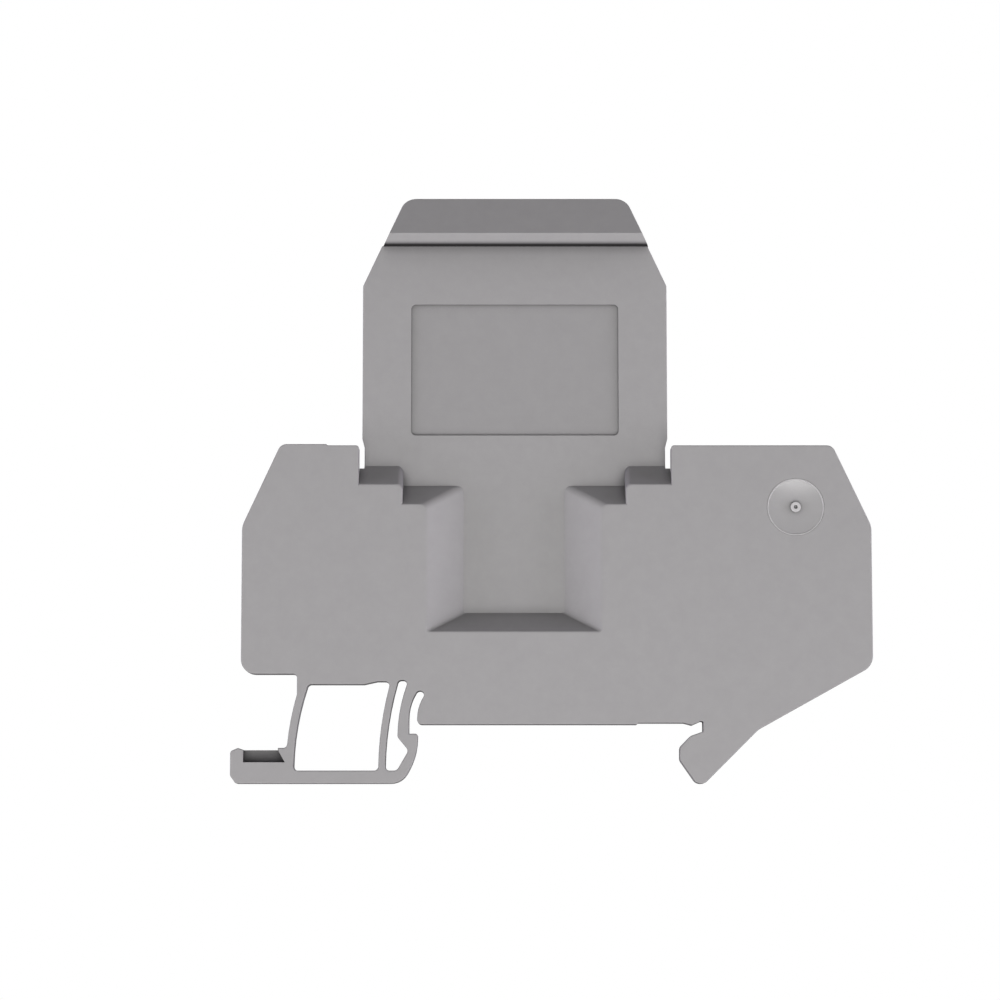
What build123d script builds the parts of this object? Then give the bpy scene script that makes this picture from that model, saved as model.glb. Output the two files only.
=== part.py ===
from build123d import *
import math
import os

# Partition plate for a row of rail-mounted terminal blocks: one moulding in grey polyamide.
# Millimetres. X runs across the rail, Z up and away from it, and Y through the plate, front towards -Y.
# The origin is on the rail's centre line, in the face that sits on the rail, halfway through the wall.

# Mounting rail that the foot grips
RAIL_WIDTH = 35.0
RAIL_SIDE_CLEARANCE = 0.1
RAIL_LIP = 1.0
RAIL_LIP_CLEARANCE = 0.1

# Wall, the same thickness all over, how far the centre panel lies behind the wings, and the softened edges
WALL = 2.2
SET_BACK = 3.1
EDGE_RADIUS = 0.15

# Wings
LEFT_OVERHANG = 5.47
RIGHT_OVERHANG = 20.45
WING_TOP = 33.7
WING_CORNER_RUN = 4.6
WING_CORNER_DROP = 9.8
WING_TOP_RADIUS = 1.1
WING_SIDE_RADIUS = 2.6
LEFT_UNDERSIDE = 6.05
LEFT_LOWER_RADIUS = 1.75
RIGHT_UNDERSIDE = 7.05
RIGHT_LOWER_RADIUS = 2.0
PAD_LENGTH = 5.5
PAD_HEIGHT = 0.15

# Centre panel, standing up between the wings
PANEL_CENTRE = -4.9
PANEL_WIDTH = 37.15
PANEL_SHOULDER = 53.75
PANEL_SHOULDER_RADIUS = 0.6
PANEL_TOP_WIDTH = 27.1
NECK_STEP = 0.28
NECK_HEIGHT = 3.7
NECK_TAPER_HEIGHT = 1.1
SLOT_WIDTH = 0.57
SLOT_FLOOR = 31.2
SLOT_RADIUS = 0.35

# Strip along the top edge, level with the front of the wings
STRIP_CENTRE = -4.78
STRIP_RISE = 4.95
STRIP_HEIGHT = 5.85
STRIP_TOP_RADIUS = 2.1
STRIP_BEVEL = 1.0
STRIP_FOOT_RADIUS = 1.2
STRIP_LEAN = 28.0
STRIP_END_STEP = 0.05
STRIP_END_DRAFT = 6.0

# Sloped wall between the wings and the panel: a wide step, a narrower one below it, and a tongue
STEP_CENTRE = -5.0
STEP_LEVEL = 28.92
STEP_RUN = 2.62
STEP_RADIUS = 0.7
LOWER_STEP_WIDTH = 26.9
LOWER_STEP_LEVEL = 26.5
TONGUE_WIDTH = 21.15
TONGUE_SIDE_RUN = 4.44
TONGUE_FOOT = 11.12
TONGUE_FOOT_RUN = 2.5
TONGUE_TOP_RADIUS = 1.2
TONGUE_FOOT_RADIUS = 0.5
FOLD_RADIUS = 0.3
TOUCH = 0.001

# Label field, left bare
LABEL_WIDTH = 25.3
LABEL_BOTTOM = 35.3
LABEL_HEIGHT = 16.15
LABEL_RADIUS = 0.6
LABEL_DEPTH = 0.28

# Dish where the moulding was fed, with the stub of its sprue
GATE_X = 28.95
GATE_Z = 26.2
GATE_RADIUS = 3.5
GATE_RIM = 0.08
GATE_DEPTH = 0.3
SPRUE_RADIUS = 0.62
SPRUE_PIT_RADIUS = 0.22
SPRUE_PIT_DEPTH = 0.4

# Seat on the rail
SEAT_LENGTH = 26.3
SEAT_RELIEF = 0.18
SEAT_CORNER_RADIUS = 0.6

# Fixed hook, right of the rail
FOOT_BOTTOM = -7.05
NOTCH_RISE = 0.37
NOTCH_RADIUS = 0.15
CRUSH_RIB_SETBACK = 1.3
CRUSH_RIB_DROP = 0.26
CRUSH_RIB_WIDTH = 1.0
HOOK_LIP_LENGTH = 1.5
HOOK_LIP_DROP = 0.54
HOOK_REACH = 2.8
HOOK_NOSE_TOP = -2.7
HOOK_NOSE_BOTTOM = -4.25
HOOK_NOSE_RADIUS = 0.8
HOOK_TIP_START = 0.85
HOOK_TIP_WIDTH = 1.02
HOOK_TIP_RADIUS = 1.0
HOOK_KNEE_OUT = 6.6
HOOK_KNEE_Z = -0.65
HOOK_KNEE_RADIUS = 2.0

# Snap foot, left of the rail: a strut and a leg that bow as the foot is pulled out, and a latch finger
BAR_TOP = -5.5
WINDOW_WIDTH = 10.13
WINDOW_TOP = 4.8
WINDOW_TOP_RISE = 0.35
WINDOW_RAMP = 1.6
WINDOW_RADIUS = 0.5
STRUT_LEAN = 1.7
STRUT_THICKNESS = 0.93
STRUT_ROOT_Z = 3.6
STRUT_ROOT_LEAN = 1.28
STRUT_ROOT_RADIUS = 0.5
LEG_LEAN = 1.45
LEG_THICKNESS = 0.85
LEG_FLARE = 0.1
LEG_GAP = 1.44
SLOT_TOP = 5.3
SLOT_TOP_RADIUS = 0.45
FINGER_THICKNESS = 1.38
FINGER_LEAN = 1.3
FINGER_HEEL_Z = -1.5
FINGER_HEEL_RADIUS = 0.6
FINGER_WALL = 1.1
LATCH_REACH = 1.05
LATCH_RADIUS = 0.3
LATCH_BACK_Z = -3.1
LATCH_BELLY_FOOT = 2.29
LATCH_BELLY_X = 0.15
LATCH_BELLY_Z = 0.2
SLOT_HEEL_WIDTH = 1.37
SLOT_HEEL_RADIUS = 0.6
SLIT_WIDTH = 0.97
SLIT_TOP = 4.02
SLIT_STRAIGHT = 0.1
SLIT_LEAN = 0.8

# Foot bar and its screwdriver pocket
BAR_REACH = 6.65
FOOT_HEAD = -2.8
FOOT_END_RISE = 0.95
FOOT_END_RUN = 0.67
FOOT_HEAD_RUN = 0.93
FOOT_EDGE_RADIUS = 0.4
POCKET_END_WALL = 1.55
POCKET_LENGTH = 4.15
POCKET_TAPER = 0.84
WEB_TOP = -3.02
WEB = 0.7

# Depths of the wings' faces and of the panel's
FRONT = -WALL / 2
BACK = WALL / 2
PANEL_FRONT = FRONT + SET_BACK
PANEL_BACK = BACK + SET_BACK

# Sides of the panel, of its slots and of the wings beside them, and the heights of the strip
PANEL_HALF = PANEL_WIDTH / 2
NECK_HALF = PANEL_HALF - NECK_STEP
SLOT_LEFT = PANEL_CENTRE - NECK_HALF - SLOT_WIDTH
SLOT_RIGHT = PANEL_CENTRE + NECK_HALF + SLOT_WIDTH
STRIP_UNDERSIDE = PANEL_SHOULDER + STRIP_RISE
TOP = STRIP_UNDERSIDE + STRIP_HEIGHT

# Edges of the rail, and the top of the latch under its lip
RAIL_LEFT = -RAIL_WIDTH / 2 - RAIL_SIDE_CLEARANCE
RAIL_RIGHT = RAIL_WIDTH / 2 + RAIL_SIDE_CLEARANCE
LATCH_TOP = -RAIL_LIP - RAIL_LIP_CLEARANCE

# Sides of the snap foot's springs at the bar, set out from the rail's left edge, and the plate's two ends
FINGER_LEFT = RAIL_LEFT - FINGER_THICKNESS
LEG_RIGHT = FINGER_LEFT - LEG_GAP
LEG_LEFT = LEG_RIGHT - LEG_THICKNESS
STRUT_RIGHT = LEG_LEFT - WINDOW_WIDTH
STRUT_LEFT = STRUT_RIGHT - STRUT_THICKNESS
FOOT_END = STRUT_LEFT - BAR_REACH
LEFT_EDGE = STRUT_LEFT - LEFT_OVERHANG
RIGHT_EDGE = RAIL_RIGHT + RIGHT_OVERHANG


def rounded(corners):
    """Face inside a closed run of straight sides, from corners of x, z and radius."""
    points = [(x, z) for x, z, radius in corners]
    radii = [radius for x, z, radius in corners]
    return make_face(FilletPolyline(*points, radius=radii, close=True))


def soften(face, x, z, radius):
    """The face with its corner nearest to x, z rounded."""
    corner = face.vertices().sort_by_distance(Vector(x, z))[0]
    return fillet(corner, radius)


def edges_at_depth(solid, depth, low, high):
    """Edges of a solid that lie at one depth, with their middles between two heights."""
    edges = solid.edges().filter_by_position(Axis.Y, depth - TOUCH, depth + TOUCH)
    return edges.filter_by_position(Axis.Z, low, high)


def slab(face, front, back):
    """The face made solid between two depths."""
    return extrude(Plane.XZ.offset(-front) * face, amount=front - back)


def between_wings(bottom, top, front, back):
    """A block that fills the room between the wings, from one slot to the other."""
    return slab(rounded([
        (SLOT_LEFT, bottom, 0),
        (SLOT_LEFT, top, 0),
        (SLOT_RIGHT, top, 0),
        (SLOT_RIGHT, bottom, 0),
    ]), front, back)


def bar_along_x(outline, left, right):
    """An outline of depth and height made solid between two places along X."""
    face = make_face(Polyline(*outline, close=True))
    return extrude(Plane.YZ.offset(left) * face, amount=right - left)


def body_face():
    """Both wings, the seat on the rail and the fixed hook."""
    pad_top = WING_TOP + PAD_HEIGHT
    wing_side_top = WING_TOP - WING_CORNER_DROP
    pad_left = LEFT_EDGE + WING_CORNER_RUN
    latch_middle = RAIL_LEFT + LATCH_REACH / 2
    relief_x = RAIL_LEFT + SLIT_WIDTH + SEAT_LENGTH
    rib_x = RAIL_RIGHT - CRUSH_RIB_SETBACK
    rib_z = SEAT_RELIEF - CRUSH_RIB_DROP
    notch_floor = NOTCH_RISE - RAIL_LIP - 2 * RAIL_LIP_CLEARANCE
    lip_x = RAIL_RIGHT - HOOK_LIP_LENGTH
    nose_x = RAIL_RIGHT - HOOK_REACH
    tip_x = RAIL_RIGHT - HOOK_TIP_START
    return rounded([
        (SLOT_LEFT, STEP_LEVEL, 0),
        (SLOT_LEFT, WING_TOP, SLOT_RADIUS),
        (pad_left + PAD_LENGTH + PAD_HEIGHT, WING_TOP, 0),
        (pad_left + PAD_LENGTH, pad_top, 0),
        (pad_left, pad_top, WING_TOP_RADIUS),
        (LEFT_EDGE, wing_side_top, WING_SIDE_RADIUS),
        (LEFT_EDGE, LEFT_UNDERSIDE, LEFT_LOWER_RADIUS),
        (latch_middle, LEFT_UNDERSIDE, 0),
        (latch_middle, 0, 0),
        (relief_x, 0, 0),
        (relief_x + SEAT_RELIEF, SEAT_RELIEF, 0),
        (rib_x - CRUSH_RIB_WIDTH, SEAT_RELIEF, 0),
        (rib_x, rib_z, NOTCH_RADIUS),
        (rib_x + CRUSH_RIB_WIDTH, NOTCH_RISE, NOTCH_RADIUS),
        (RAIL_RIGHT, NOTCH_RISE, NOTCH_RADIUS),
        (RAIL_RIGHT, notch_floor, 0),
        (lip_x, notch_floor - HOOK_LIP_DROP, HOOK_NOSE_RADIUS),
        (nose_x, HOOK_NOSE_TOP, HOOK_NOSE_RADIUS),
        (nose_x, HOOK_NOSE_BOTTOM, HOOK_NOSE_RADIUS),
        (tip_x, FOOT_BOTTOM, HOOK_TIP_RADIUS),
        (tip_x + HOOK_TIP_WIDTH, FOOT_BOTTOM, HOOK_TIP_RADIUS),
        (RAIL_RIGHT + HOOK_KNEE_OUT, HOOK_KNEE_Z, HOOK_KNEE_RADIUS),
        (RIGHT_EDGE, RIGHT_UNDERSIDE, RIGHT_LOWER_RADIUS),
        (RIGHT_EDGE, wing_side_top, WING_SIDE_RADIUS),
        (RIGHT_EDGE - WING_CORNER_RUN, WING_TOP, WING_TOP_RADIUS),
        (SLOT_RIGHT, WING_TOP, SLOT_RADIUS),
        (SLOT_RIGHT, STEP_LEVEL, 0),
    ])


def foot_frame():
    """The strut, leg and finger with the bar under them, before their gaps are cut."""
    root_x = STRUT_LEFT + STRUT_ROOT_LEAN
    inside = LEFT_UNDERSIDE + WALL
    latch_middle = RAIL_LEFT + LATCH_REACH / 2
    latch_tip = RAIL_LEFT + LATCH_REACH
    strut = TangentArc((STRUT_LEFT, BAR_TOP), (root_x, STRUT_ROOT_Z), tangent=(0, 1))
    latch_back = Spline(
        (RAIL_LEFT - LATCH_BELLY_FOOT, FOOT_BOTTOM),
        (RAIL_LEFT + LATCH_BELLY_X, BAR_TOP + LATCH_BELLY_Z),
        (latch_tip, LATCH_TOP - LATCH_RADIUS),
        tangents=[(1, 0), (0, 1)],
    )
    latch_nose = TangentArc(latch_back @ 1, (latch_tip - LATCH_RADIUS, LATCH_TOP), tangent=(0, 1))
    sides = Polyline(
        latch_nose @ 1,
        (latch_middle, LATCH_TOP),
        (latch_middle, inside),
        (root_x, inside),
        strut @ 1,
    )
    bottom = Polyline(strut @ 0, (STRUT_LEFT, FOOT_BOTTOM), latch_back @ 0)
    return make_face(Curve() + [strut, sides, latch_nose, latch_back, bottom])


def foot_bar():
    """The bar that a screwdriver pulls, left of the strut."""
    pocket_left = FOOT_END + POCKET_END_WALL
    pocket_right = pocket_left + POCKET_LENGTH
    inside = STRUT_LEFT + STRUT_THICKNESS / 2
    return rounded([
        (FOOT_END, FOOT_BOTTOM + FOOT_END_RISE, FOOT_EDGE_RADIUS),
        (FOOT_END, FOOT_HEAD - FOOT_EDGE_RADIUS, FOOT_EDGE_RADIUS),
        (FOOT_END + FOOT_HEAD_RUN, FOOT_HEAD, FOOT_EDGE_RADIUS / 2),
        (pocket_left, WEB_TOP, 0),
        (pocket_right, WEB_TOP, 0),
        (pocket_right, FOOT_HEAD, 0),
        (inside, FOOT_HEAD, 0),
        (inside, FOOT_BOTTOM, 0),
        (FOOT_END + FOOT_END_RUN, FOOT_BOTTOM, FOOT_EDGE_RADIUS),
    ])


def window_face():
    """The gap between the strut and the leg."""
    leg_top = WINDOW_TOP + WINDOW_TOP_RISE
    strut = TangentArc((STRUT_RIGHT, BAR_TOP), (STRUT_RIGHT + STRUT_LEAN, WINDOW_TOP), tangent=(0, 1))
    leg = TangentArc((LEG_LEFT, BAR_TOP), (LEG_LEFT + LEG_LEAN, leg_top), tangent=(0, 1))
    ramp = (LEG_LEFT + LEG_LEAN - WINDOW_RAMP, leg_top)
    top = Polyline(strut @ 1, (ramp[0] - WINDOW_RAMP, WINDOW_TOP), ramp, leg @ 1)
    face = make_face(Curve() + [strut, top, leg, Line(strut @ 0, leg @ 0)])
    for corner in (strut @ 0, strut @ 1, leg @ 0, leg @ 1):
        face = soften(face, corner.X, corner.Y, WINDOW_RADIUS)
    return face


def finger_slot():
    """The gap between the leg and the latch finger, wider behind the latch."""
    leg_root = (LEG_RIGHT + LEG_LEAN + LEG_FLARE, SLOT_TOP)
    leg = TangentArc((LEG_RIGHT, BAR_TOP), leg_root, tangent=(0, 1))
    finger_root = (FINGER_LEFT + FINGER_LEAN, SLOT_TOP)
    finger = TangentArc((FINGER_LEFT, FINGER_HEEL_Z), finger_root, tangent=(0, 1))
    latch_back_x = RAIL_LEFT + LATCH_REACH - FINGER_WALL
    heel = (LEG_RIGHT + SLOT_HEEL_WIDTH, BAR_TOP)
    lobe = Polyline(leg @ 0, heel, (latch_back_x, LATCH_BACK_Z), finger @ 0)
    face = make_face(Curve() + [leg, Line(leg @ 1, finger @ 1), finger, lobe])
    face = soften(face, (leg @ 0).X, (leg @ 0).Y, WINDOW_RADIUS)
    face = soften(face, heel[0], heel[1], SLOT_HEEL_RADIUS)
    face = soften(face, latch_back_x, LATCH_BACK_Z, FINGER_HEEL_RADIUS)
    face = soften(face, (finger @ 0).X, (finger @ 0).Y, FINGER_HEEL_RADIUS)
    face = soften(face, (leg @ 1).X, (leg @ 1).Y, SLOT_TOP_RADIUS)
    return soften(face, (finger @ 1).X, (finger @ 1).Y, SLOT_TOP_RADIUS)


def rail_slit():
    """The gap between the latch finger and the seat, where the rail's lip goes in."""
    middle = RAIL_LEFT + SLIT_WIDTH / 2
    path = Line((middle, 0), (middle, SEAT_CORNER_RADIUS + SLIT_STRAIGHT))
    path += TangentArc(path @ 1, (middle + SLIT_LEAN, SLIT_TOP - SLIT_WIDTH / 2), tangent=(0, 1))
    outline = Wire(path.edges()).offset_2d(SLIT_WIDTH / 2, kind=Kind.ARC, side=Side.BOTH, closed=True)
    mouth = Pos(middle, LATCH_TOP / 2) * Rectangle(SLIT_WIDTH, -LATCH_TOP)
    return make_face(outline.edges()) + mouth


def wing_plate():
    """The flat plate of the wings with the foot, the hook and all their gaps."""
    face = body_face() + foot_frame() + foot_bar()
    face = face - window_face() - finger_slot() - rail_slit()
    face = soften(face, STRUT_LEFT + STRUT_ROOT_LEAN, STRUT_ROOT_Z, STRUT_ROOT_RADIUS)
    face = soften(face, STRUT_LEFT + STRUT_ROOT_LEAN, LEFT_UNDERSIDE, STRUT_ROOT_RADIUS)
    face = soften(face, STRUT_LEFT, FOOT_HEAD, STRUT_ROOT_RADIUS)
    face = soften(face, RAIL_LEFT + SLIT_WIDTH, 0, SEAT_CORNER_RADIUS)
    plate = slab(face, FRONT, BACK)
    return plate.fillet(EDGE_RADIUS, plate.faces().sort_by(Axis.Y)[0].edges())


def panel_face():
    """The centre panel's outline, down to the seat."""
    top_half = PANEL_TOP_WIDTH / 2
    slot_half = NECK_HALF + SLOT_WIDTH
    corners = [
        (slot_half, 0, 0),
        (slot_half, SLOT_FLOOR, 0),
        (NECK_HALF, SLOT_FLOOR, 0),
        (NECK_HALF, SLOT_FLOOR + NECK_HEIGHT - NECK_TAPER_HEIGHT, 0),
        (PANEL_HALF, SLOT_FLOOR + NECK_HEIGHT, 0),
        (PANEL_HALF, PANEL_SHOULDER, PANEL_SHOULDER_RADIUS),
        (top_half, TOP, 0),
    ]
    right = [(PANEL_CENTRE + x, z, radius) for x, z, radius in corners]
    left = [(PANEL_CENTRE - x, z, radius) for x, z, radius in reversed(corners)]
    return rounded(right + left)


def fold_shift(run):
    """How far a fold line moves from one face of the wall to the other, for an even wall."""
    return WALL * math.tan(math.atan2(SET_BACK, run) / 2)


def panel_space(front, back, level, behind):
    """Everything between the slopes and the strip, from one depth to another.

    The folds lie at the depth called level. Behind the wall they move outward by the wall's thickness.
    """
    def slope(fold, run, depth):
        return fold - behind * fold_shift(run) + run * (depth - level) / SET_BACK

    def ledge(fold, run, left, right):
        section = [
            (front, slope(fold, run, front)),
            (back, slope(fold, run, back)),
            (back, STRIP_UNDERSIDE),
            (front, STRIP_UNDERSIDE),
        ]
        return bar_along_x(section, left, right)

    def tongue_half(depth):
        return -slope(-TONGUE_WIDTH / 2, TONGUE_SIDE_RUN, depth)

    lower_half = LOWER_STEP_WIDTH / 2 + behind * WALL
    tongue = make_face(Polyline(
        (STEP_CENTRE - tongue_half(front), front),
        (STEP_CENTRE + tongue_half(front), front),
        (STEP_CENTRE + tongue_half(back), back),
        (STEP_CENTRE - tongue_half(back), back),
        close=True,
    ))
    space = ledge(STEP_LEVEL, STEP_RUN, SLOT_LEFT, SLOT_RIGHT)
    space += ledge(LOWER_STEP_LEVEL, STEP_RUN, STEP_CENTRE - lower_half, STEP_CENTRE + lower_half)
    widest = ledge(TONGUE_FOOT, TONGUE_FOOT_RUN, STEP_CENTRE - lower_half, STEP_CENTRE + lower_half)
    space += widest & extrude(tongue, amount=STRIP_UNDERSIDE)
    middle = (front + back) / 2
    for side in (-1, 1):
        tongue_x = STEP_CENTRE + side * tongue_half(middle)
        spots = [
            (STEP_CENTRE + side * lower_half, slope(STEP_LEVEL, STEP_RUN, middle), STEP_RADIUS),
            (tongue_x, slope(LOWER_STEP_LEVEL, STEP_RUN, middle), TONGUE_TOP_RADIUS),
            (tongue_x, slope(TONGUE_FOOT, TONGUE_FOOT_RUN, middle), TONGUE_FOOT_RADIUS),
        ]
        for x, z, radius in spots:
            edge = space.edges().sort_by_distance(Vector(x, middle, z))[0]
            space = space.fillet(radius, [edge])
    return space


def recess():
    """The space in front of the panel, flared a little where its slopes meet the front of the wings."""
    block = between_wings(0, STRIP_UNDERSIDE, FRONT, PANEL_FRONT)
    slopes = block - panel_space(FRONT, PANEL_FRONT, FRONT, 0)
    folds = edges_at_depth(slopes, FRONT, TONGUE_FOOT - TOUCH, STEP_LEVEL + TOUCH)
    folds = folds.filter_by_position(Axis.X, SLOT_LEFT + TOUCH, SLOT_RIGHT - TOUCH)
    return block - slopes.fillet(FOLD_RADIUS, folds)


def centre_panel():
    """The set-back panel, with the back of the slopes that join it to the wings."""
    seam = min(BACK, PANEL_FRONT)
    panel = slab(panel_face(), seam, PANEL_BACK) & panel_space(seam, PANEL_BACK, BACK, 1)
    panel = panel - recess()
    below_strip = STRIP_UNDERSIDE - TOUCH
    front = edges_at_depth(panel, PANEL_FRONT, STEP_LEVEL + STEP_RUN + TOUCH, below_strip)
    back = edges_at_depth(panel, PANEL_BACK, SLOT_FLOOR + TOUCH, below_strip)
    return panel.fillet(EDGE_RADIUS, front + back)


def strip():
    """The top of the wall: a ledge forward from the panel, and a strip on it that leans back.

    Under the strip is a bevel with a rounded foot.
    """
    taper = (PANEL_WIDTH - PANEL_TOP_WIDTH) / 2 / (TOP - PANEL_SHOULDER)
    top_half = PANEL_TOP_WIDTH / 2 - STRIP_END_STEP
    foot_z = STRIP_UNDERSIDE - WALL
    foot_half = top_half + taper * (TOP - foot_z)
    outline = rounded([
        (STRIP_CENTRE - foot_half, foot_z, 0),
        (STRIP_CENTRE - top_half, TOP, STRIP_TOP_RADIUS),
        (STRIP_CENTRE + top_half, TOP, STRIP_TOP_RADIUS),
        (STRIP_CENTRE + foot_half, foot_z, 0),
    ])
    depth = PANEL_FRONT - FRONT
    room = extrude(Plane.XZ.offset(-PANEL_FRONT) * outline, amount=depth, taper=STRIP_END_DRAFT)
    room += slab(outline, PANEL_FRONT, PANEL_BACK)
    lean = math.radians(STRIP_LEAN)
    crease = STRIP_UNDERSIDE + STRIP_BEVEL
    ledge_top = STRIP_UNDERSIDE + WALL
    top_front = FRONT + (TOP - crease) * math.tan(lean)
    ledge_back = FRONT + (ledge_top - crease) * math.tan(lean) + WALL / math.cos(lean)
    section = [
        (FRONT + STRIP_BEVEL, STRIP_UNDERSIDE),
        (FRONT, crease),
        (top_front, TOP),
        (top_front + WALL / math.cos(lean), TOP),
        (ledge_back, ledge_top),
        (PANEL_BACK, ledge_top),
        (PANEL_BACK, STRIP_UNDERSIDE),
    ]
    wall = bar_along_x(section, STRIP_CENTRE - foot_half, STRIP_CENTRE + foot_half)
    foot = wall.edges().sort_by_distance(Vector(STRIP_CENTRE, FRONT + STRIP_BEVEL, STRIP_UNDERSIDE))[0]
    wall = wall.fillet(STRIP_FOOT_RADIUS, [foot]) & room
    middle = Vector(STRIP_CENTRE, (FRONT + top_front) / 2, (crease + TOP) / 2)
    wall = wall.fillet(EDGE_RADIUS, wall.faces().sort_by_distance(middle)[0].edges())
    return wall.fillet(EDGE_RADIUS, edges_at_depth(wall, PANEL_BACK, STRIP_UNDERSIDE + TOUCH, TOP))


def gate_dish():
    """The shallow dish of the moulding gate, with a low step at its rim and the sprue's stub in the middle."""
    deepest = GATE_RIM + GATE_DEPTH
    sphere_radius = (GATE_RADIUS ** 2 + GATE_DEPTH ** 2) / (2 * GATE_DEPTH)
    ball = Pos(GATE_X, FRONT + deepest - sphere_radius, GATE_Z) * Sphere(sphere_radius)
    stub_place = Plane((GATE_X, FRONT, GATE_Z), z_dir=(0, 1, 0))
    dish = ball & stub_place * extrude(Circle(GATE_RADIUS), amount=deepest)
    stub = stub_place * extrude(Circle(SPRUE_RADIUS) - Circle(SPRUE_PIT_RADIUS), amount=SPRUE_PIT_DEPTH)
    pit = stub_place * extrude(Circle(SPRUE_PIT_RADIUS), amount=SPRUE_PIT_DEPTH)
    return dish - stub + pit


def screwdriver_pocket():
    """The scoop in the foot bar, open at its top and front, with a thin web left behind it."""
    radius = WALL - WEB
    left = FOOT_END + POCKET_END_WALL
    right = left + POCKET_LENGTH
    mouth = make_face(Polyline(
        (left, WEB_TOP),
        (right, WEB_TOP),
        (right + POCKET_TAPER, WEB_TOP - radius),
        (left, WEB_TOP - radius),
        close=True,
    ))
    roll_axis = Plane((left, FRONT, WEB_TOP), z_dir=(1, 0, 0))
    roll = roll_axis * extrude(Circle(radius), amount=right - left + POCKET_TAPER)
    return slab(mouth, FRONT, BACK) & roll


def label_field():
    """The shallow bare rectangle on the panel's front."""
    outline = Pos(PANEL_CENTRE, LABEL_BOTTOM + LABEL_HEIGHT / 2) * RectangleRounded(
        LABEL_WIDTH, LABEL_HEIGHT, LABEL_RADIUS)
    return slab(outline, PANEL_FRONT, PANEL_FRONT + LABEL_DEPTH)


def partition_plate():
    """The whole moulding."""
    wings = wing_plate() + between_wings(TONGUE_FOOT, SLOT_FLOOR, FRONT, BACK) - recess()
    plate = wings + centre_panel() + strip()
    return plate - label_field() - gate_dish() - screwdriver_pocket()


os.makedirs("parts", exist_ok=True)
export_step(partition_plate(), "parts/partition_plate.step")
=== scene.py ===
import math
from types import SimpleNamespace

import bmesh
import bpy
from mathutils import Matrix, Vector


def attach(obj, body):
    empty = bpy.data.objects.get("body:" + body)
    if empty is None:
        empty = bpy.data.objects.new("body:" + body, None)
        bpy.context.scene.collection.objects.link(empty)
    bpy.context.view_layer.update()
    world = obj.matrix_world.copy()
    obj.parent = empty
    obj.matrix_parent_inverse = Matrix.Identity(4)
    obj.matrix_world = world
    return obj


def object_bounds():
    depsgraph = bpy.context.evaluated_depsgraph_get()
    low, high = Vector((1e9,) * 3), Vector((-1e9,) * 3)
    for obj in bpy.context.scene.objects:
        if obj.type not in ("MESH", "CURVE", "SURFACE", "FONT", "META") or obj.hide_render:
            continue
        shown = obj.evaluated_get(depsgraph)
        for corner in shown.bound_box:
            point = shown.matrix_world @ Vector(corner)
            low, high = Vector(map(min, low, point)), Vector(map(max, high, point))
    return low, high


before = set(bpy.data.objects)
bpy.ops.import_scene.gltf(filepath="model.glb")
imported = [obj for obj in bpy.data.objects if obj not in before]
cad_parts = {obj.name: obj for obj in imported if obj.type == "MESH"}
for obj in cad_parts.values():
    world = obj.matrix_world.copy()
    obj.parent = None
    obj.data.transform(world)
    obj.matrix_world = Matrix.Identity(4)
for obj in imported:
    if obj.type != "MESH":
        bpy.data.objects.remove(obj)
cad_low, cad_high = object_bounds()

# Everything is in metres, in the frame of the CAD part. The camera looks up at the plate a little.
CAMERA_TARGET = Vector((-0.006709, 0.0, 0.027159))
CAMERA_TILT = math.radians(6.5)
CAMERA_DISTANCE = 0.4
SENSOR = 36.0
LENS = 119.08

# Grey polyamide
PLASTIC_COLOUR = (0.367, 0.362, 0.362)
PLASTIC_IOR = 1.5
PLASTIC_ROUGHNESS = 0.52
PLASTIC_SHEEN = 0.25

# Faint mottling of its colour: size and make-up of the noise, the range of it that counts, and its strength
MOTTLE_SCALE = 550.0
MOTTLE_DETAIL = 3.0
MOTTLE_ROUGHNESS = 0.7
MOTTLE_RANGE = (0.3, 0.7)
MOTTLE = 0.022

# Fine grain of an eroded mould: size and make-up of the noise, its relief, and how it varies the roughness
GRAIN_SCALE = 5200.0
GRAIN_DETAIL = 3.0
GRAIN_ROUGHNESS = 0.55
GRAIN_MIDDLE = 0.5
GRAIN_DEPTH = 0.0000018
UNEVEN_ROUGHNESS = 0.12

# Cut edges are dull, and those of the foot and of the undersides carry painted shade, darker in the colour.
# A face counts as an edge by
# how little it looks to the front or back, and as an underside by how much it looks down.
EDGE_TURN = (0.5, 0.85)
EDGE_SHEEN = 0.0
EDGE_PAINTED_SHADE = 0.6
UNDERSIDE_TURN = (0.2, 0.6)
UNDERSIDE_TOP = 0.0115
FOOT_TOP = 0.0058

# Painted shade: recesses are darkened in the colour by how near the plate's own walls stand, and sharp inner
# corners darker still: distance and strength
RECESS_REACH = 0.008
RECESS_SHADE = 0.52
CORNER_REACH = 0.0012
CORNER_SHADE = 0.55
SHADE_SAMPLES = 4

# Painted shade in the crevice under the strip, darkened nearly to black: its two heights, the face of the
# panel behind it, and the depths at which it starts to darken and is darkest
CREVICE_LOW = 0.05866
CREVICE_HIGH = 0.0598
CREVICE_BACK = 0.0021
CREVICE_FADE = (-0.0003, 0.0006)
CREVICE_PAINTED_SHADE = 0.16

# Painted shade in the screwdriver pocket, darker than its depth alone makes it: two corners of the box that
# holds it
POCKET_LOW = (-0.03803, -0.00108, -0.00455)
POCKET_HIGH = (-0.0329, 0.00045, -0.003)
POCKET_PAINTED_SHADE = 0.6

# The label field is smoother and a little darker: two corners of the box that holds it
LABEL_LOW = (-0.01755, 0.0021, 0.0353)
LABEL_HIGH = (0.00775, 0.0026, 0.05145)
LABEL_TONE = 0.93
LABEL_ROUGHNESS = 0.42

# The dish of the moulding gate is glossy and has little grain
GATE_CENTRE = (0.02895, -0.0011, 0.0262)
GATE_RADIUS = 0.00352
GATE_ROUGHNESS = 0.2
GATE_SHEEN = 0.7
GATE_GRAIN = 0.15

# The sprue's stub in its middle has soft edges, and a painted highlight: a pale ring on its end
STUB_RADIUS = 0.0007
STUB_SOFTNESS = 0.00016
STUB_RING = (0.00024, 0.00066)
STUB_PAINTED_HIGHLIGHT = 1.55
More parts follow.
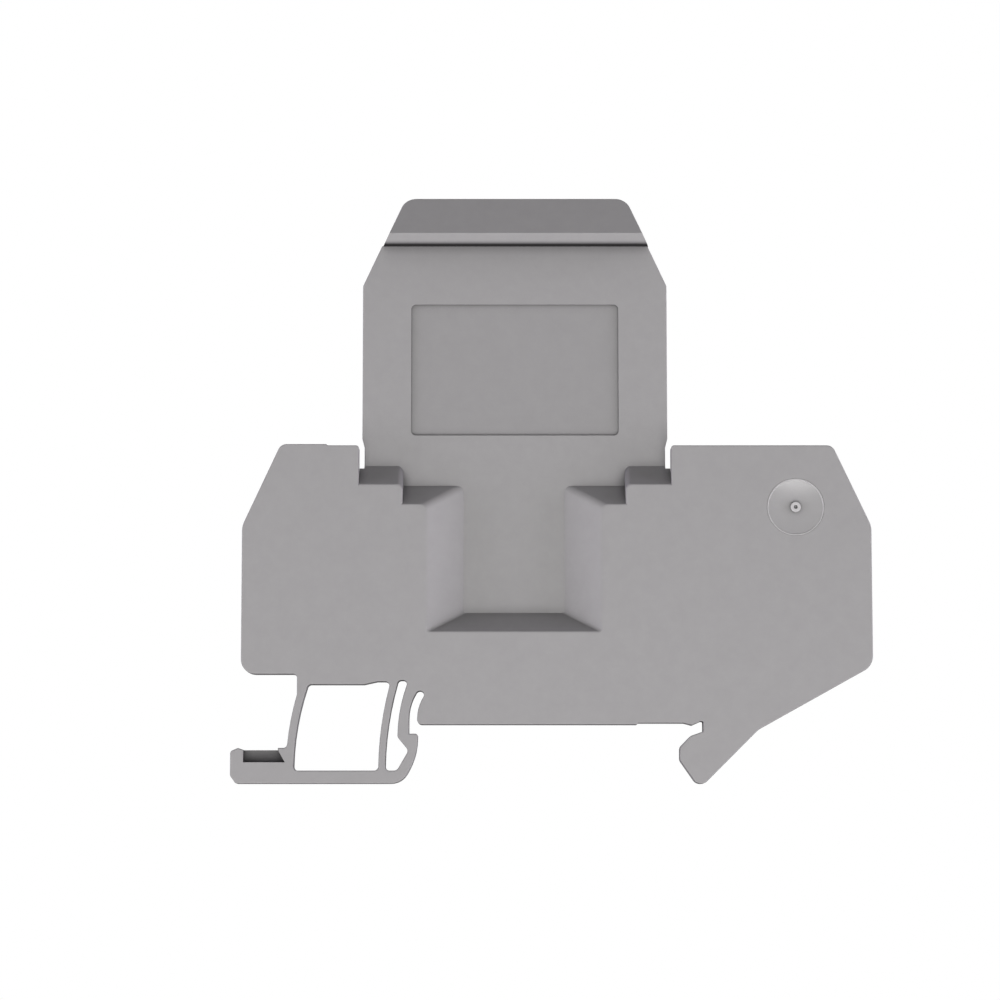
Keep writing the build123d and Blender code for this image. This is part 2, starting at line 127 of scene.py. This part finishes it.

# Polished rim of the dish, its colour paler than the plastic as a painted highlight: radius of the ring,
# radius of the bead, and its depth behind the face
RIM_PAINTED_HIGHLIGHT_COLOUR = (0.47, 0.465, 0.465)
RIM_ROUGHNESS = 0.25
RIM_SHEEN = 0.6
RIM_RADIUS = 0.00337
RIM_BEAD = 0.00011
RIM_DEPTH = 0.00012
RIM_STEPS = 120
BEAD_STEPS = 12

# The two outer folds of the tongue are softer than the other edges
FOLD_MIDDLE = -0.005
FOLD_NEAR = 0.0096
FOLD_FAR = 0.0117
FOLD_BOTTOM = 0.0122
FOLD_TOP = 0.0262
FOLD_SOFTNESS = 0.0007
BEVEL_SAMPLES = 6

# Floor just under the foot: pale round the object, clear further away, and seen from above only
FLOOR_GAP = 0.0002
FLOOR_SIZE = 8.0
FLOOR_COLOUR = (0.8, 0.8, 0.8, 1.0)
FLOOR_GLOW = 0.62
FLOOR_NEAR = 0.05
FLOOR_FAR = 0.16

# White backdrop, and the dim light that it gives
WHITE = (1.0, 1.0, 1.0, 1.0)
DIM = 0.005

# Soft square lamps: name, azimuth and elevation seen from the front, size, power and colour
LIGHT_DISTANCE = 0.7
WARM = (1.0, 0.99, 0.98)
COOL = (0.92, 0.87, 1.0)
LIGHTS = [
    ("front", 3.0, -29.0, 0.6, 4.95, WARM),
    ("high_right", 80.0, 25.0, 0.35, 0.9, COOL),
    ("high_left", -80.0, 25.0, 0.35, 0.9, COOL),
    ("low_right", 80.0, -12.0, 0.35, 2.3, COOL),
    ("low_left", -80.0, -12.0, 0.35, 2.2, COOL),
    ("back_right", 142.0, 4.0, 0.35, 2.9, WARM),
    ("back_left", -142.0, 4.0, 0.35, 2.9, WARM),
]


class Nodes:
    """The emptied node tree of a material or world, with short ways to fill it."""

    def __init__(self, owner):
        owner.use_nodes = True
        self.tree = owner.node_tree
        self.tree.nodes.clear()

    def link(self, source, target):
        """A link from an output to an input."""
        self.tree.links.new(source, target)

    def add(self, kind, **values):
        """A new node, with properties set, and inputs set to a value or linked to an output."""
        node = self.tree.nodes.new(kind)
        for name, value in values.items():
            if hasattr(node, name):
                setattr(node, name, value)
            elif isinstance(value, bpy.types.NodeSocket):
                self.link(value, node.inputs[name])
            else:
                node.inputs[name].default_value = value
        return node

    def maths(self, operation, *values):
        """A sum, product, comparison or the like of numbers and outputs."""
        node = self.add("ShaderNodeMath", operation=operation)
        for slot, value in enumerate(values):
            if isinstance(value, float):
                node.inputs[slot].default_value = value
            else:
                self.link(value, node.inputs[slot])
        return node.outputs[0]

    def product(self, first, *others):
        """The product of several outputs and numbers."""
        total = first
        for other in others:
            total = self.maths("MULTIPLY", total, other)
        return total

    def ramp(self, value, limits, levels=(0.0, 1.0)):
        """One level up to the first limit, another from the second limit on, and an even change between."""
        node = self.add("ShaderNodeMapRange", Value=value)
        node.inputs["From Min"].default_value, node.inputs["From Max"].default_value = limits
        node.inputs["To Min"].default_value, node.inputs["To Max"].default_value = levels
        return node.outputs["Result"]

    def blend(self, mask, outside, inside):
        """One level outside a mask and another inside it."""
        return self.ramp(mask, (0.0, 1.0), (outside, inside))

    def between(self, value, low, high):
        """A mask of 1 where a value lies between two others."""
        return self.product(self.maths("GREATER_THAN", value, low), self.maths("LESS_THAN", value, high))

    def mix(self, factor, first, second):
        """One shader where the factor is 0, and another where it is 1."""
        node = self.add("ShaderNodeMixShader")
        for slot, source in enumerate((factor, first, second)):
            self.link(source, node.inputs[slot])
        return node.outputs[0]


def plate_places(nodes):
    """A point's place on the plate, and masks of 1 in the places that look different from the rest."""
    coordinates = nodes.add("ShaderNodeTexCoord").outputs
    place = coordinates["Object"]
    x, y, z = nodes.add("ShaderNodeSeparateXYZ", Vector=place).outputs
    facing = nodes.add("ShaderNodeSeparateXYZ", Vector=coordinates["Normal"]).outputs

    def inside_box(low, high):
        """A mask of 1 inside a box, given by two corners."""
        return nodes.product(*[nodes.between(*along) for along in zip((x, y, z), low, high)])

    front = nodes.maths("LESS_THAN", y, 0.0)
    distance = nodes.add("ShaderNodeVectorMath", operation="DISTANCE")
    nodes.link(place, distance.inputs[0])
    distance.inputs[1].default_value = GATE_CENTRE
    from_gate = distance.outputs["Value"]
    from_fold_middle = nodes.maths("ABSOLUTE", nodes.maths("SUBTRACT", x, FOLD_MIDDLE))
    beside_tongue = nodes.between(from_fold_middle, FOLD_NEAR, FOLD_FAR)
    crevice_heights = nodes.between(z, CREVICE_LOW, CREVICE_HIGH)
    before_panel = nodes.maths("LESS_THAN", y, CREVICE_BACK)

    edge = nodes.ramp(nodes.maths("ABSOLUTE", facing["Y"]), EDGE_TURN, (1.0, 0.0))
    down = nodes.ramp(nodes.product(facing["Z"], -1.0), UNDERSIDE_TURN)
    underside = nodes.product(down, nodes.maths("LESS_THAN", z, UNDERSIDE_TOP))
    dark = nodes.maths("MAXIMUM", underside, nodes.maths("LESS_THAN", z, FOOT_TOP))

    return SimpleNamespace(
        place=place,
        edge=edge,
        painted_shade_edge=nodes.product(edge, dark),
        crevice=nodes.product(crevice_heights, before_panel, nodes.ramp(y, CREVICE_FADE)),
        pocket=inside_box(POCKET_LOW, POCKET_HIGH),
        label=inside_box(LABEL_LOW, LABEL_HIGH),
        fold=nodes.product(beside_tongue, front, nodes.between(z, FOLD_BOTTOM, FOLD_TOP)),
        gate=nodes.product(nodes.maths("LESS_THAN", from_gate, GATE_RADIUS), front),
        stub=nodes.maths("LESS_THAN", from_gate, STUB_RADIUS),
        stub_ring=nodes.product(nodes.between(from_gate, *STUB_RING), front),
    )


def nearness_shade(nodes, reach, strength):
    """Painted shade: a tone that falls in the colour where the plate's own walls stand close round a point.
    """
    node = nodes.add("ShaderNodeAmbientOcclusion", samples=SHADE_SAMPLES, only_local=True, Distance=reach)
    return nodes.blend(node.outputs["AO"], 1.0 - strength, 1.0)


def plate_tone(nodes, at):
    """How light the plastic is, against its plain colour: mottled, with painted shade in recesses, corners,
    the crevice, the pocket and on edges, and a painted highlight on the stub's ring.
    """
    mottle = nodes.add("ShaderNodeTexNoise", Vector=at.place, Scale=MOTTLE_SCALE, Detail=MOTTLE_DETAIL,
                       Roughness=MOTTLE_ROUGHNESS)
    # painted shade in the screwdriver pocket
    pocket = nodes.blend(at.pocket, 1.0, POCKET_PAINTED_SHADE)
    # painted shade on edges of the undersides and the foot
    edge = nodes.blend(at.painted_shade_edge, 1.0, EDGE_PAINTED_SHADE)
    return nodes.product(
        nodes.ramp(mottle.outputs["Fac"], MOTTLE_RANGE, (1.0 - MOTTLE, 1.0 + MOTTLE)),
        nodes.blend(at.label, 1.0, LABEL_TONE),
        # painted shade in recesses and sharp inner corners
        nearness_shade(nodes, RECESS_REACH, RECESS_SHADE),
        nearness_shade(nodes, CORNER_REACH, CORNER_SHADE),
        # painted shade: the crevice under the strip darkened nearly to black
        nodes.blend(at.crevice, 1.0, CREVICE_PAINTED_SHADE),
        nodes.maths("MINIMUM", pocket, edge),
        # painted highlight: the ring on the sprue's stub lightened
        nodes.blend(at.stub_ring, 1.0, STUB_PAINTED_HIGHLIGHT),
    )


def plate_sheen(nodes, at):
    """How strongly the plastic reflects: dull on edges, and glossy in the gate's dish."""
    plain = nodes.blend(at.edge, PLASTIC_SHEEN, EDGE_SHEEN)
    return nodes.maths("MAXIMUM", plain, nodes.blend(at.gate, 0.0, GATE_SHEEN))


def plate_roughness(nodes, at, grain):
    """Smoother in the label field and the gate's dish, and uneven with the grain everywhere."""
    plain = nodes.blend(at.label, PLASTIC_ROUGHNESS, LABEL_ROUGHNESS)
    polished = nodes.blend(at.gate, 0.0, GATE_ROUGHNESS - PLASTIC_ROUGHNESS)
    uneven = nodes.product(nodes.maths("SUBTRACT", grain, GRAIN_MIDDLE), UNEVEN_ROUGHNESS)
    return nodes.maths("ADD", nodes.maths("ADD", plain, polished), uneven)


def plate_normal(nodes, at, grain):
    """The grain's relief, over edges that are softer at the tongue's outer folds and the sprue's stub."""
    stub = nodes.product(at.stub, STUB_SOFTNESS)
    fold = nodes.product(at.fold, FOLD_SOFTNESS)
    bevel = nodes.add("ShaderNodeBevel", samples=BEVEL_SAMPLES, Radius=nodes.maths("ADD", stub, fold))
    strength = nodes.blend(at.gate, 1.0, GATE_GRAIN)
    bump = nodes.add("ShaderNodeBump", Strength=strength, Distance=GRAIN_DEPTH, Height=grain,
                     Normal=bevel.outputs["Normal"])
    return bump.outputs["Normal"]


def plastic():
    """Matte grey moulding compound: faint mottling, and a fine even grain in its surface."""
    material = bpy.data.materials.new("grey_polyamide_finish")
    nodes = Nodes(material)
    at = plate_places(nodes)
    noise = nodes.add("ShaderNodeTexNoise", Vector=at.place, Scale=GRAIN_SCALE, Detail=GRAIN_DETAIL,
                      Roughness=GRAIN_ROUGHNESS)
    grain = noise.outputs["Fac"]
    colour = nodes.add("ShaderNodeVectorMath", operation="SCALE", Scale=plate_tone(nodes, at))
    colour.inputs[0].default_value = PLASTIC_COLOUR
    shader = nodes.add("ShaderNodeBsdfPrincipled", IOR=PLASTIC_IOR)
    nodes.link(colour.outputs["Vector"], shader.inputs["Base Color"])
    nodes.link(plate_sheen(nodes, at), shader.inputs["Specular IOR Level"])
    nodes.link(plate_roughness(nodes, at, grain), shader.inputs["Roughness"])
    nodes.link(plate_normal(nodes, at, grain), shader.inputs["Normal"])
    nodes.add("ShaderNodeOutputMaterial", Surface=shader.outputs["BSDF"])
    return material


def polish_and_painted_highlight():
    """The smooth glossy skin on the gate's rim, paler than the plastic as a painted highlight."""
    material = bpy.data.materials.new("gate_rim_gloss_and_painted_highlight")
    nodes = Nodes(material)
    shader = nodes.add("ShaderNodeBsdfPrincipled", Roughness=RIM_ROUGHNESS)
    shader.inputs["Base Color"].default_value = (*RIM_PAINTED_HIGHLIGHT_COLOUR, 1.0)
    shader.inputs["Specular IOR Level"].default_value = RIM_SHEEN
    nodes.add("ShaderNodeOutputMaterial", Surface=shader.outputs["BSDF"])
    return material


def bead_point(step, part):
    """A point on the rim's bead, so many steps round the dish and so many round the bead."""
    turn = 2 * math.pi * step / RIM_STEPS
    around = 2 * math.pi * part / BEAD_STEPS
    reach = RIM_RADIUS + RIM_BEAD * math.cos(around)
    depth = RIM_DEPTH + RIM_BEAD * math.sin(around)
    return Vector(GATE_CENTRE) + Vector((reach * math.cos(turn), depth, reach * math.sin(turn)))


def gate_rim(finish):
    """The glossy bead round the dish of the moulding gate, just inside its step."""
    shape = bmesh.new()
    rings = []
    for step in range(RIM_STEPS):
        rings.append([shape.verts.new(bead_point(step, part)) for part in range(BEAD_STEPS)])
    for step, here in enumerate(rings):
        there = rings[(step + 1) % RIM_STEPS]
        for part in range(BEAD_STEPS):
            after = (part + 1) % BEAD_STEPS
            face = shape.faces.new((here[part], here[after], there[after], there[part]))
            face.smooth = True
    bmesh.ops.recalc_face_normals(shape, faces=shape.faces)
    mesh = bpy.data.meshes.new("gate_rim")
    shape.to_mesh(mesh)
    shape.free()
    mesh.materials.append(finish)
    made = bpy.data.objects.new("gate_rim", mesh)
    bpy.context.scene.collection.objects.link(made)
    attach(made, "root")


def camera():
    """The photograph's view."""
    made = bpy.data.objects.new("camera", bpy.data.cameras.new("camera"))
    made.data.sensor_width = SENSOR
    made.data.lens = LENS
    look = Vector((0.0, math.cos(CAMERA_TILT), math.sin(CAMERA_TILT)))
    made.location = CAMERA_TARGET - CAMERA_DISTANCE * look
    made.rotation_euler = (math.radians(90) + CAMERA_TILT, 0.0, 0.0)
    bpy.context.scene.collection.objects.link(made)
    bpy.context.scene.camera = made


def studio_lights():
    """Soft square lamps round the plate, each aimed at its middle."""
    for name, azimuth, elevation, size, power, colour in LIGHTS:
        lamp = bpy.data.lights.new(name, "AREA")
        lamp.size = size
        lamp.energy = power
        lamp.color = colour
        made = bpy.data.objects.new(name, lamp)
        turn, rise = math.radians(azimuth), math.radians(elevation)
        way = Vector((math.sin(turn) * math.cos(rise), -math.cos(turn) * math.cos(rise), math.sin(rise)))
        made.location = CAMERA_TARGET + LIGHT_DISTANCE * way
        made.rotation_euler = way.to_track_quat("Z", "Y").to_euler()
        bpy.context.scene.collection.objects.link(made)


def seen_rays(nodes):
    """1 for the rays that should see the white backdrop: camera, glossy and transmission rays."""
    path = nodes.add("ShaderNodeLightPath").outputs
    direct = nodes.maths("MAXIMUM", path["Is Camera Ray"], path["Is Glossy Ray"])
    return nodes.maths("MAXIMUM", direct, path["Is Transmission Ray"])


def backdrop():
    """White where it is seen, and a dim even light on everything else."""
    world = bpy.data.worlds.new("studio")
    bpy.context.scene.world = world
    nodes = Nodes(world)
    dim = nodes.add("ShaderNodeBackground", Color=WHITE, Strength=DIM)
    white = nodes.add("ShaderNodeBackground", Color=WHITE, Strength=1.0)
    nodes.add("ShaderNodeOutputWorld", Surface=nodes.mix(seen_rays(nodes), dim.outputs[0], white.outputs[0]))


def floor_finish():
    """Pale matte floor that keeps the object's shadow and fades into the white backdrop."""
    material = bpy.data.materials.new("studio_floor")
    nodes = Nodes(material)
    matte = nodes.add("ShaderNodeBsdfDiffuse", Color=FLOOR_COLOUR)
    glow = nodes.add("ShaderNodeEmission", Color=WHITE, Strength=FLOOR_GLOW)
    clear = nodes.add("ShaderNodeBsdfTransparent").outputs[0]
    near = nodes.add("ShaderNodeAddShader")
    nodes.link(matte.outputs[0], near.inputs[0])
    nodes.link(glow.outputs[0], near.inputs[1])

    away = nodes.add("ShaderNodeVectorMath", operation="LENGTH")
    nodes.link(nodes.add("ShaderNodeTexCoord").outputs["Object"], away.inputs[0])
    fade = nodes.add("ShaderNodeMapRange", interpolation_type="SMOOTHSTEP", Value=away.outputs["Value"])
    fade.inputs["From Min"].default_value = FLOOR_NEAR
    fade.inputs["From Max"].default_value = FLOOR_FAR
    top = nodes.mix(fade.outputs["Result"], near.outputs[0], clear)
    one_sided = nodes.mix(nodes.add("ShaderNodeNewGeometry").outputs["Backfacing"], top, clear)
    nodes.add("ShaderNodeOutputMaterial", Surface=nodes.mix(seen_rays(nodes), clear, one_sided))
    return material


def floor():
    """A wide flat sheet just under the foot."""
    half = FLOOR_SIZE / 2
    corners = [(-half, -half, 0), (half, -half, 0), (half, half, 0), (-half, half, 0)]
    mesh = bpy.data.meshes.new("floor")
    mesh.from_pydata(corners, [], [(0, 1, 2, 3)])
    mesh.materials.append(floor_finish())
    made = bpy.data.objects.new("floor", mesh)
    made.location = (0.0, 0.0, cad_low[2] - FLOOR_GAP)
    bpy.context.scene.collection.objects.link(made)


camera()
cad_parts["partition_plate"].material_slots[0].material = plastic()
gate_rim(polish_and_painted_highlight())
studio_lights()
backdrop()
floor()
bpy.context.scene.view_settings.view_transform = "Standard"
